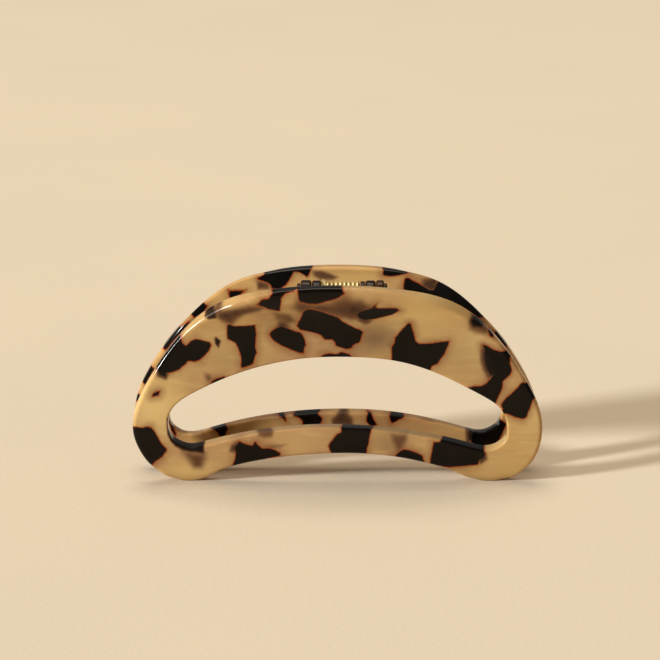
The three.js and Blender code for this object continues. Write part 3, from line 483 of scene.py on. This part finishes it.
def turned(name, profile, segments=72):
    """Revolves (distance along X, radius) points about the hinge axis. A radius of 0 is a point on the axis."""
    verts, rows = [], []
    for x, r in profile:
        if r < 1e-9:
            rows.append([len(verts)])
            verts.append((x * MM, 0, PIN_Z * MM))
        else:
            rows.append(list(range(len(verts), len(verts) + segments)))
            for k in range(segments):
                a = 2 * math.pi * k / segments
                verts.append((x * MM, r * math.cos(a) * MM, (PIN_Z + r * math.sin(a)) * MM))
    faces = []
    closed = profile[0] == profile[-1]
    if closed:
        verts_needed = rows[-1]
        rows[-1] = rows[0]
        verts = verts[: min(verts_needed)] if verts_needed[-1] == len(verts) - 1 else verts
    for ra, rb in zip(rows, rows[1:]):
        for k in range(segments):
            n = (k + 1) % segments
            if len(ra) == 1 and len(rb) == 1:
                continue
            if len(ra) == 1:
                faces.append((ra[0], rb[n], rb[k]))
            elif len(rb) == 1:
                faces.append((ra[k], ra[n], rb[0]))
            else:
                faces.append((ra[k], ra[n], rb[n], rb[k]))
    o = mesh_object(name, verts, faces)
    fix_normals(o)
    return o


def fix_normals(o):
    import bmesh
    bm = bmesh.new()
    bm.from_mesh(o.data)
    bmesh.ops.recalc_face_normals(bm, faces=bm.faces)
    bm.to_mesh(o.data)
    bm.free()


def ear_piece(name, xs, r, side):
    zs = np.linspace(*EAR_FOOT_Z, 25)
    foot = on_sheet(np.zeros(25), zs, -(H + GAP))[:, 1:]
    def tangent(p, sign):
        dy, dz = p[0], p[1] - PIN_Z
        return math.atan2(dz, dy) + sign * math.acos(r / math.hypot(dy, dz))
    a0 = tangent(foot[-1], 1)
    a1 = tangent(foot[0], -1) + 2 * math.pi
    pts = [tuple(p) for p in foot]
    for k in range(73):
        a = a0 + (a1 - a0) * k / 72
        pts.append((r * math.cos(a), PIN_Z + r * math.sin(a)))
    bev = 0.6
    cu = bpy.data.curves.new(name, "CURVE")
    cu.dimensions = "2D"
    cu.fill_mode = "BOTH"
    cu.extrude = ((xs[1] - xs[0]) / 2 - bev) * MM
    cu.bevel_depth = bev * MM
    cu.bevel_resolution = 4
    cu.offset = -bev * MM
    hole = [(BORE_R * math.cos(2 * math.pi * k / 64), PIN_Z + BORE_R * math.sin(2 * math.pi * k / 64)) for k in range(64)]
    for loop in (pts, hole):
        s = cu.splines.new("POLY")
        s.points.add(len(loop) - 1)
        for q, (y, z) in zip(s.points, loop):
            q.co = (side * y * MM, z * MM, 0, 1)
        s.use_cyclic_u = True
    tmp = bpy.data.objects.new(name + "_c", cu)
    bpy.context.scene.collection.objects.link(tmp)
    bpy.context.view_layer.update()
    me = bpy.data.meshes.new_from_object(tmp.evaluated_get(bpy.context.evaluated_depsgraph_get()))
    bpy.data.objects.remove(tmp)
    bpy.data.curves.remove(cu)
    me.name = name
    co = np.zeros(len(me.vertices) * 3)
    me.vertices.foreach_get("co", co)
    co = co.reshape(-1, 3)
    mid = (xs[0] + xs[1]) / 2 * MM
    co = np.stack([mid + co[:, 2], co[:, 0], co[:, 1]], 1)
    me.vertices.foreach_set("co", co.ravel())
    o = bpy.data.objects.new(name, me)
    bpy.context.scene.collection.objects.link(o)
    import bmesh
    bm = bmesh.new()
    bm.from_mesh(me)
    bmesh.ops.remove_doubles(bm, verts=bm.verts, dist=1e-6)
    bmesh.ops.recalc_face_normals(bm, faces=bm.faces)
    bm.to_mesh(me)
    bm.free()
    me.polygons.foreach_set("use_smooth", [True] * len(me.polygons))
    me.set_sharp_from_angle(angle=math.radians(40))
    return o


def catmull(points, per):
    """An open centripetal Catmull-Rom curve."""
    P = np.asarray(points, float)
    P = np.vstack([2 * P[0] - P[1], P, 2 * P[-1] - P[-2]])
    out = []
    for k in range(1, len(P) - 2):
        p0, p1, p2, p3 = P[k - 1 : k + 3]
        d0, d1, d2 = (max(np.linalg.norm(b - a) ** 0.5, 1e-4) for a, b in ((p0, p1), (p1, p2), (p2, p3)))
        m1 = ((p1 - p0) / d0 - (p2 - p0) / (d0 + d1) + (p2 - p1) / d1) * d1
        m2 = ((p2 - p1) / d1 - (p3 - p1) / (d1 + d2) + (p3 - p2) / d2) * d1
        for t in np.arange(per) / per:
            out.append((2 * t**3 - 3 * t**2 + 1) * p1 + (t**3 - 2 * t**2 + t) * m1 + (-2 * t**3 + 3 * t**2) * p2 + (t**3 - t**2) * m2)
    out.append(P[-2])
    return np.array(out)


def wire_piece(name, path, r, around=18):
    n = len(path)
    tan = np.gradient(path, axis=0)
    tan /= np.linalg.norm(tan, axis=1)[:, None]
    nor = np.zeros_like(path)
    v = np.cross(tan[0], [1, 0, 0])
    nor[0] = v / np.linalg.norm(v)
    for k in range(1, n):
        v = nor[k - 1] - tan[k] * (nor[k - 1] @ tan[k])
        nor[k] = v / np.linalg.norm(v)
    bi = np.cross(tan, nor)
    rows, radii, centres = [], [], []
    # rounded ends
    ends = [math.radians(a) for a in (12, 35, 60)]
    seq = [(0, -r * math.cos(a) * 0.6 + r * 0.6, r * math.sin(a)) for a in ends]
    ang = 2 * math.pi * np.arange(around) / around
    rings = []
    for k, back, rad in seq:
        rings.append(path[0] + tan[0] * (back) + rad * (np.cos(ang)[:, None] * nor[0] + np.sin(ang)[:, None] * bi[0]))
    for k in range(n):
        if 0 < k < n - 1 or True:
            if k == 0:
                c = path[0] + tan[0] * r * 0.6
            elif k == n - 1:
                c = path[-1] - tan[-1] * r * 0.6
            else:
                c = path[k]
                if np.linalg.norm(c - path[0]) < r * 0.7 or np.linalg.norm(c - path[-1]) < r * 0.7:
                    continue
            rings.append(c + r * (np.cos(ang)[:, None] * nor[k] + np.sin(ang)[:, None] * bi[k]))
    for k, back, rad in reversed(seq):
        rings.append(path[-1] - tan[-1] * (back) + rad * (np.cos(ang)[:, None] * nor[-1] + np.sin(ang)[:, None] * bi[-1]))
    m = len(rings)
    verts = np.concatenate(rings) * MM
    faces = []
    for i in range(m - 1):
        for k in range(around):
            k2 = (k + 1) % around
            faces.append((i * around + k, i * around + k2, (i + 1) * around + k2, (i + 1) * around + k))
    faces.append(tuple(range(around))[::-1])
    faces.append(tuple((m - 1) * around + k for k in range(around)))
    o = mesh_object(name, verts, faces)
    fix_normals(o)
    return o


def spring_path():
    pts = [(-2.7, -7.55, 1.75), (-2.85, -5.6, 2.15), (-3.1, -3.2, 2.6), (-3.35, -1.2, 2.8), (-3.55, 0.2, 2.65), (-3.5, 1.55, 1.9)]
    per = 12
    for i in range(COIL_TURNS * per + 1):
        turn = 0.25 + i / per
        a = 2 * math.pi * turn
        pts.append((COIL_X0 + COIL_PITCH * turn, COIL_R * math.sin(a), COIL_R * math.cos(a)))
    xe = COIL_X0 + COIL_PITCH * (COIL_TURNS + 0.25)
    pts += [(xe + 0.05, 2.3, -0.9), (xe + 0.05, 3.15, -1.5), (xe + 0.02, 4.3, -1.5), (xe, 5.5, -1.4)]
    return catmull([(x, y, PIN_Z + z) for x, y, z in pts], 4)


# ------------------------------------------------------------------ node helpers
class Nodes:
    """A material's node tree, built with short calls."""

    def __init__(self, name):
        self.mat = bpy.data.materials.new(name)
        self.mat.use_nodes = True
        self.t = self.mat.node_tree
        self.bsdf = self.t.nodes["Principled BSDF"]

    def new(self, kind, **props):
        n = self.t.nodes.new(kind)
        for k, v in props.items():
            setattr(n, k, v)
        return n

    def put(self, socket, value):
        if isinstance(value, bpy.types.NodeSocket):
            self.t.links.new(value, socket)
        else:
            socket.default_value = value

    def math(self, op, a, b=0.0, c=None, clamp=False):
        n = self.new("ShaderNodeMath", operation=op, use_clamp=clamp)
        self.put(n.inputs[0], a)
        self.put(n.inputs[1], b)
        if c is not None:
            self.put(n.inputs[2], c)
        return n.outputs[0]

    def ramp(self, value, lo, hi):
        """0 at lo, 1 at hi, smooth between them."""
        n = self.new("ShaderNodeMapRange", interpolation_type="SMOOTHSTEP", clamp=True)
        self.put(n.inputs["Value"], value)
        n.inputs["From Min"].default_value = lo
        n.inputs["From Max"].default_value = hi
        return n.outputs["Result"]

    def mix(self, f, a, b):
        n = self.new("ShaderNodeMix", data_type="RGBA", clamp_factor=True)
        self.put(n.inputs[0], f)
        for s, v in ((n.inputs[6], a), (n.inputs[7], b)):
            self.put(s, v if isinstance(v, bpy.types.NodeSocket) else (*v, 1.0))
        return n.outputs[2]

    def object_coords(self):
        return self.new("ShaderNodeTexCoord").outputs["Object"]

    def noise(self, scale, detail=3.0, rough=0.5, vector=None, out="Fac", distortion=0.0):
        n = self.new("ShaderNodeTexNoise")
        self.put(n.inputs["Vector"], vector if vector is not None else self.object_coords())
        n.inputs["Scale"].default_value = scale
        n.inputs["Detail"].default_value = detail
        n.inputs["Roughness"].default_value = rough
        n.inputs["Distortion"].default_value = distortion
        return n.outputs[out]

    def attribute(self, name):
        n = self.new("ShaderNodeAttribute", attribute_type="GEOMETRY", attribute_name=name)
        return n.outputs["Fac"]

    def bump(self, height, strength, distance):
        n = self.new("ShaderNodeBump")
        n.inputs["Strength"].default_value = strength
        n.inputs["Distance"].default_value = distance
        self.put(n.inputs["Height"], height)
        return n.outputs["Normal"]

    def set(self, name, value):
        self.put(self.bsdf.inputs[name], value)


def srgb(r, g, b):
    return tuple(((c / 255 + 0.055) / 1.055) ** 2.4 if c > 10 else c / 255 / 12.92 for c in (r, g, b))


# gold is the colour of the drawn streaks and also of the painted light; the grey-brown colour is that of the painted
# shade.
FRONT_LOOK = dict(offset=(0.0, 0.0, 0.0), honey=(186, 147, 91), tan=(173, 132, 87), gold=(213, 178, 115), painted_shade=(110, 82, 54), haze=0.6)
REAR_LOOK = dict(offset=(0.31, 0.17, 0.05), honey=(190, 148, 90), tan=(174, 128, 78), gold=(202, 160, 94), painted_shade=(120, 88, 58), haze=0.6)


def tortoiseshell(name, look):
    n = Nodes(name)
    co = n.object_coords()
    shift = n.new("ShaderNodeVectorMath", operation="ADD")
    n.put(shift.inputs[0], co)
    shift.inputs[1].default_value = look["offset"]
    co = shift.outputs[0]
    honey, tan, gold, painted_shade = srgb(*look["honey"]), srgb(*look["tan"]), srgb(*look["gold"]), srgb(*look["painted_shade"])
    # the ground: honey and tan drawn out in soft clouds, as in a sheet cut from a cast block
    cloud = n.noise(34, 3.0, 0.5, co, distortion=0.6)
    ground = n.mix(n.ramp(cloud, 0.36, 0.64), tan, honey)
    drawn = n.new("ShaderNodeMapping")
    n.put(drawn.inputs["Vector"], co)
    drawn.inputs["Rotation"].default_value = (0.0, 0.5, 0.0)
    drawn.inputs["Scale"].default_value = (0.35, 1.0, 1.6)
    streak = n.noise(190, 4.0, 0.6, drawn.outputs["Vector"], distortion=0.8)
    ground = n.mix(n.math("MULTIPLY", n.ramp(streak, 0.46, 0.74), 0.38), ground, gold)
    ground = n.mix(n.math("MULTIPLY", n.ramp(n.math("SUBTRACT", 1.0, streak), 0.5, 0.8), 0.3), ground, srgb(148, 106, 66))
    # Painted light turns the ground gold where the sheet is lit and where light shines through it; painted shade
    # turns it grey-brown where it lies in shade.
    ground = n.mix(n.attribute("gold"), ground, gold)
    ground = n.mix(n.attribute("painted_shade"), ground, painted_shade)
    # a warm brown haze lies round the chips
    d0 = n.attribute("chip")
    haze = n.math("SUBTRACT", 1.0, n.ramp(d0, 0.0, 2.6))
    haze = n.math("MULTIPLY", haze, n.math("MULTIPLY", n.ramp(n.noise(95, 3.0, 0.55, co), 0.3, 0.62), look["haze"]))
    ground = n.mix(haze, ground, srgb(134, 88, 52))
    # chips deep in the sheet show blurred and brown
    deep = n.attribute("deep")
    wobble = n.math("MULTIPLY", n.math("SUBTRACT", n.noise(260, 3.0, 0.6, co), 0.5), 0.5)
    deep = n.math("MULTIPLY", deep, n.math("ADD", 1.0, wobble), clamp=True)
    ground = n.mix(n.ramp(deep, 0.02, 0.58), ground, srgb(103, 67, 41))
    ground = n.mix(n.ramp(deep, 0.5, 0.98), ground, srgb(15, 10, 8))
    # chips at the surface: a broken edge with a rust-orange rim
    jag = n.math("MULTIPLY", n.math("SUBTRACT", n.noise(620, 3.0, 0.6, co), 0.5), 0.55)
    jag2 = n.math("MULTIPLY", n.math("SUBTRACT", n.noise(2600, 2.0, 0.6, co), 0.5), 0.22)
    d = n.math("ADD", n.math("ADD", d0, jag), jag2)
    halo = n.math("SUBTRACT", 1.0, n.ramp(d, 0.0, 0.6))
    clear = n.math("SUBTRACT", 1.0, n.ramp(deep, 0.15, 0.75))
    halo = n.math("MULTIPLY", halo, clear)
    ground = n.mix(n.math("MULTIPLY", halo, 0.6), ground, srgb(150, 80, 36))
    rim = n.math("SUBTRACT", 1.0, n.ramp(d, -0.08, 0.14))
    col = n.mix(n.math("MULTIPLY", rim, clear), ground, srgb(132, 50, 18))
    inside = n.math("SUBTRACT", 1.0, n.ramp(d, -0.27, -0.06))
    black = n.mix(n.ramp(n.noise(150, 3.0, 0.5, co), 0.4, 0.75), srgb(7, 5, 4), srgb(14, 10, 8))
    col = n.mix(inside, col, black)
    n.set("Base Color", col)
    n.set("Roughness", n.math("ADD", 0.09, n.math("MULTIPLY", n.noise(75, 2.0, 0.5, co), 0.06)))
    n.set("IOR", 1.45)
    n.set("Specular IOR Level", 0.2)
    n.set("Specular Tint", (1.0, 0.87, 0.74, 1.0))
    n.set("Subsurface Weight", n.math("MULTIPLY", n.math("SUBTRACT", 1.0, rim), 0.45))
    n.set("Subsurface Radius", (1.0, 0.55, 0.25))
    n.set("Subsurface Scale", 0.003)
    # a hand-polished surface is very slightly uneven
    n.set("Normal", n.bump(n.noise(45, 2.0, 0.4, co), 0.12, 0.0006))
    return n.mat


def dark_acetate(name):
    n = Nodes(name)
    v = n.noise(380, 3.0, 0.55)
    n.set("Base Color", n.mix(n.ramp(v, 0.42, 0.72), srgb(22, 14, 10), srgb(52, 31, 19)))
    n.set("Roughness", n.math("ADD", 0.14, n.math("MULTIPLY", n.noise(500, 2.0), 0.08)))
    n.set("IOR", 1.45)
    n.set("Specular IOR Level", 0.2)
    n.set("Specular Tint", (1.0, 0.87, 0.74, 1.0))
    return n.mat


def brown_acetate(name):
    n = Nodes(name)
    v = n.noise(330, 3.0, 0.55)
    n.set("Base Color", n.mix(n.ramp(v, 0.38, 0.68), srgb(36, 20, 12), srgb(68, 39, 23)))
    n.set("Roughness", n.math("ADD", 0.15, n.math("MULTIPLY", n.noise(500, 2.0), 0.08)))
    n.set("IOR", 1.45)
    n.set("Specular IOR Level", 0.2)
    n.set("Specular Tint", (1.0, 0.87, 0.74, 1.0))
    n.set("Subsurface Weight", 0.2)
    n.set("Subsurface Radius", (1.0, 0.5, 0.25))
    n.set("Subsurface Scale", 0.0015)
    return n.mat


def gold_wire(name):
    n = Nodes(name)
    v = n.noise(700, 3.0, 0.5)
    n.set("Base Color", n.mix(n.ramp(v, 0.35, 0.7), srgb(240, 216, 150), srgb(224, 192, 124)))
    n.set("Metallic", 0.6)
    n.set("Roughness", n.math("ADD", 0.24, n.math("MULTIPLY", n.noise(1500, 2.0), 0.12)))
    return n.mat


def steel(name):
    n = Nodes(name)
    v = n.noise(900, 3.0, 0.5)
    n.set("Base Color", n.mix(v, srgb(112, 102, 90), srgb(84, 76, 66)))
    n.set("Metallic", 1.0)
    n.set("Roughness", n.math("ADD", 0.3, n.math("MULTIPLY", n.noise(1300, 2.0), 0.15)))
    return n.mat


def floor_paper(name):
    n = Nodes(name)
    v = n.noise(9, 3.0, 0.5)
    col = n.mix(n.ramp(v, 0.35, 0.65), FLOOR_A, FLOOR_B)
    grain = n.noise(420, 4.0, 0.6)
    n.set("Base Color", n.mix(n.math("MULTIPLY", grain, 0.05), col, tuple(c * 0.8 for c in FLOOR_A)))
    n.set("Roughness", n.math("ADD", 0.85, n.math("MULTIPLY", grain, 0.1)))
    n.set("Specular IOR Level", 0.15)
    n.set("Specular Tint", (1.0, 0.87, 0.74, 1.0))
    n.set("Normal", n.bump(n.noise(650, 4.0, 0.6), 0.15, 0.0004))
    return n.mat


FLOOR_A = (0.722, 0.575, 0.401)
FLOOR_B = (0.712, 0.569, 0.398)

# ------------------------------------------------------------------ the pieces
def finish_piece(o, mat, body, node):
    o.data.materials.clear()
    o.data.materials.append(mat)
    if body:
        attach(o, body)
    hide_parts(node)
    return o


front = frame_piece("front_frame_fine", -1, FRONT_CHIPS, 2.0, FRONT_PAINTED_LIGHT_SHADE, 5)
finish_piece(front, tortoiseshell("tortoiseshell_front", FRONT_LOOK), "front_half", "front_frame")
rear = frame_piece("rear_frame_fine", 1, REAR_CHIPS, -2.0, REAR_PAINTED_LIGHT_SHADE, 11)
finish_piece(rear, tortoiseshell("tortoiseshell_rear", REAR_LOOK), "rear_half", "rear_frame")

dark = dark_acetate("dark_acetate")
brown = brown_acetate("brown_acetate")
for name, (xs, r, side) in EARS.items():
    o = ear_piece(name + "_fine", xs, r, side)
    is_brown = name == "rear_ear_right"
    finish_piece(o, brown if is_brown else dark, "rear_half" if side > 0 else "front_half", name)


def cap_profile(x0, x1, open_):
    outer, inner = (x0, x1) if open_ > 0 else (x1, x0)
    floor = inner - open_ * CAP_SOCKET
    pts = [(outer, 0), (outer, CAP_R - 0.5)]
    for k in range(1, 9):
        a = math.pi / 2 * k / 8
        pts.append((outer + open_ * 0.35 * (1 - math.cos(a)), CAP_R - 0.5 + 0.5 * math.sin(a)))
    pts += [(inner - open_ * 0.08, CAP_R), (inner - open_ * 0.02, CAP_R - 0.02), (inner, CAP_R - 0.08), (inner, BORE_R), (floor, BORE_R), (floor, 0)]
    return pts


for node, (x0, x1), op in (("pin_cap_left", CAP_LEFT, 1), ("pin_cap_right", CAP_RIGHT, -1)):
    o = turned(node + "_fine", cap_profile(x0, x1, op))
    o.data.set_sharp_from_angle(angle=math.radians(40))
    finish_piece(o, dark, "rear_half", node)

e = 0.15
pin_pts = [(PIN_X[0], 0), (PIN_X[0], PIN_R - e)] + [(PIN_X[0] + e * (1 - math.cos(math.pi / 2 * k / 4)), PIN_R - e + e * math.sin(math.pi / 2 * k / 4)) for k in range(1, 5)]
pin_pts += [(PIN_X[1] - e * (1 - math.cos(math.pi / 2 * k / 4)), PIN_R - e + e * math.sin(math.pi / 2 * k / 4)) for k in range(4, 0, -1)] + [(PIN_X[1], PIN_R - e), (PIN_X[1], 0)]
o = turned("hinge_pin_fine", pin_pts, 48)
o.data.set_sharp_from_angle(angle=math.radians(40))
finish_piece(o, steel("pin_steel"), "rear_half", "hinge_pin")

c0, c1 = COLLAR_X
rc = 0.22
collar = [(c0, BORE_R), (c0, COLLAR_R - rc)]
collar += [(c0 + rc * (1 - math.cos(math.pi / 2 * k / 5)), COLLAR_R - rc + rc * math.sin(math.pi / 2 * k / 5)) for k in range(1, 6)]
collar += [(c1 - rc * (1 - math.cos(math.pi / 2 * k / 5)), COLLAR_R - rc + rc * math.sin(math.pi / 2 * k / 5)) for k in range(5, 0, -1)]
collar += [(c1, COLLAR_R - rc), (c1, BORE_R), (c0, BORE_R)]
o = turned("spring_collar_fine", collar)
o.data.set_sharp_from_angle(angle=math.radians(40))
finish_piece(o, dark, "rear_half", "spring_collar")

spring = wire_piece("torsion_spring_fine", spring_path(), WIRE_R)
finish_piece(spring, gold_wire("gold_wire"), None, "torsion_spring")
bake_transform(spring)

# ------------------------------------------------------------------ floor, light and camera
KEY_POWER = 4.7
KEY_ANGLE = 7.0
KEY_COLOR = (0.82, 0.91, 1.0)
KEY_TRAVEL = (2.4, 1.25, -1.0)
TOP_POWER = 43.0
WORLD = 0.23


def floor_plane(name, half):
    steps = 12
    verts = [(x, y, 0.0) for y in np.linspace(-half, half, steps + 1) for x in np.linspace(-half, half, steps + 1)]
    w = steps + 1
    faces = [(r * w + c, r * w + c + 1, (r + 1) * w + c + 1, (r + 1) * w + c) for r in range(steps) for c in range(steps)]
    o = mesh_object(name, verts, faces)
    o.data.materials.append(floor_paper("floor_paper"))
    return o


floor_plane("floor", 3.0)


def area_light(name, where, at, size, power, color):
    d = bpy.data.lights.new(name, "AREA")
    d.shape = "RECTANGLE"
    d.size, d.size_y = size
    d.energy = power
    d.color = color
    o = bpy.data.objects.new(name, d)
    bpy.context.scene.collection.objects.link(o)
    o.location = where
    o.rotation_mode = "QUATERNION"
    o.rotation_quaternion = (Vector(at) - Vector(where)).to_track_quat("-Z", "Y")
    return o


key = bpy.data.lights.new("key", "SUN")
key.energy = KEY_POWER
key.angle = math.radians(KEY_ANGLE)
key.color = KEY_COLOR
key_o = bpy.data.objects.new("key", key)
bpy.context.scene.collection.objects.link(key_o)
key_o.rotation_mode = "QUATERNION"
key_o.rotation_quaternion = Vector(KEY_TRAVEL).to_track_quat("-Z", "Y")
key_o.location = (-1, -0.5, 0.5)

area_light("overhead", (-0.3, 0.4, 2.8), (0, 0.3, 0), (1.6, 1.6), TOP_POWER, (1.0, 0.95, 0.87))

world = bpy.data.worlds.new("studio")
bpy.context.scene.world = world
world.use_nodes = True
bg = world.node_tree.nodes["Background"]
bg.inputs["Color"].default_value = (1.0, 0.95, 0.87, 1.0)
bg.inputs["Strength"].default_value = WORLD

sc = bpy.context.scene
sc.view_settings.view_transform = "Standard"
sc.view_settings.look = "None"
sc.view_settings.exposure = 0.0
sc.view_settings.gamma = 1.0

# camera: at the height and distance that the picture was taken from
ELEV, YAW, DIST = math.radians(16.4836), math.radians(-0.108), 632.0
AIM = Vector((-1.784, 0.0, 41.479))
fwd = Vector((math.sin(YAW) * math.cos(ELEV), math.cos(YAW) * math.cos(ELEV), -math.sin(ELEV)))
cam_d = bpy.data.cameras.new("camera")
cam_d.sensor_width = 36.0
cam_d.lens = 2351.42 / 660 * 36.0
cam_d.clip_start, cam_d.clip_end = 0.05, 30.0
cam = bpy.data.objects.new("camera", cam_d)
bpy.context.scene.collection.objects.link(cam)
cam.location = (AIM - fwd * DIST) * MM
cam.rotation_mode = "QUATERNION"
cam.rotation_quaternion = fwd.to_track_quat("-Z", "Y")
sc.camera = cam
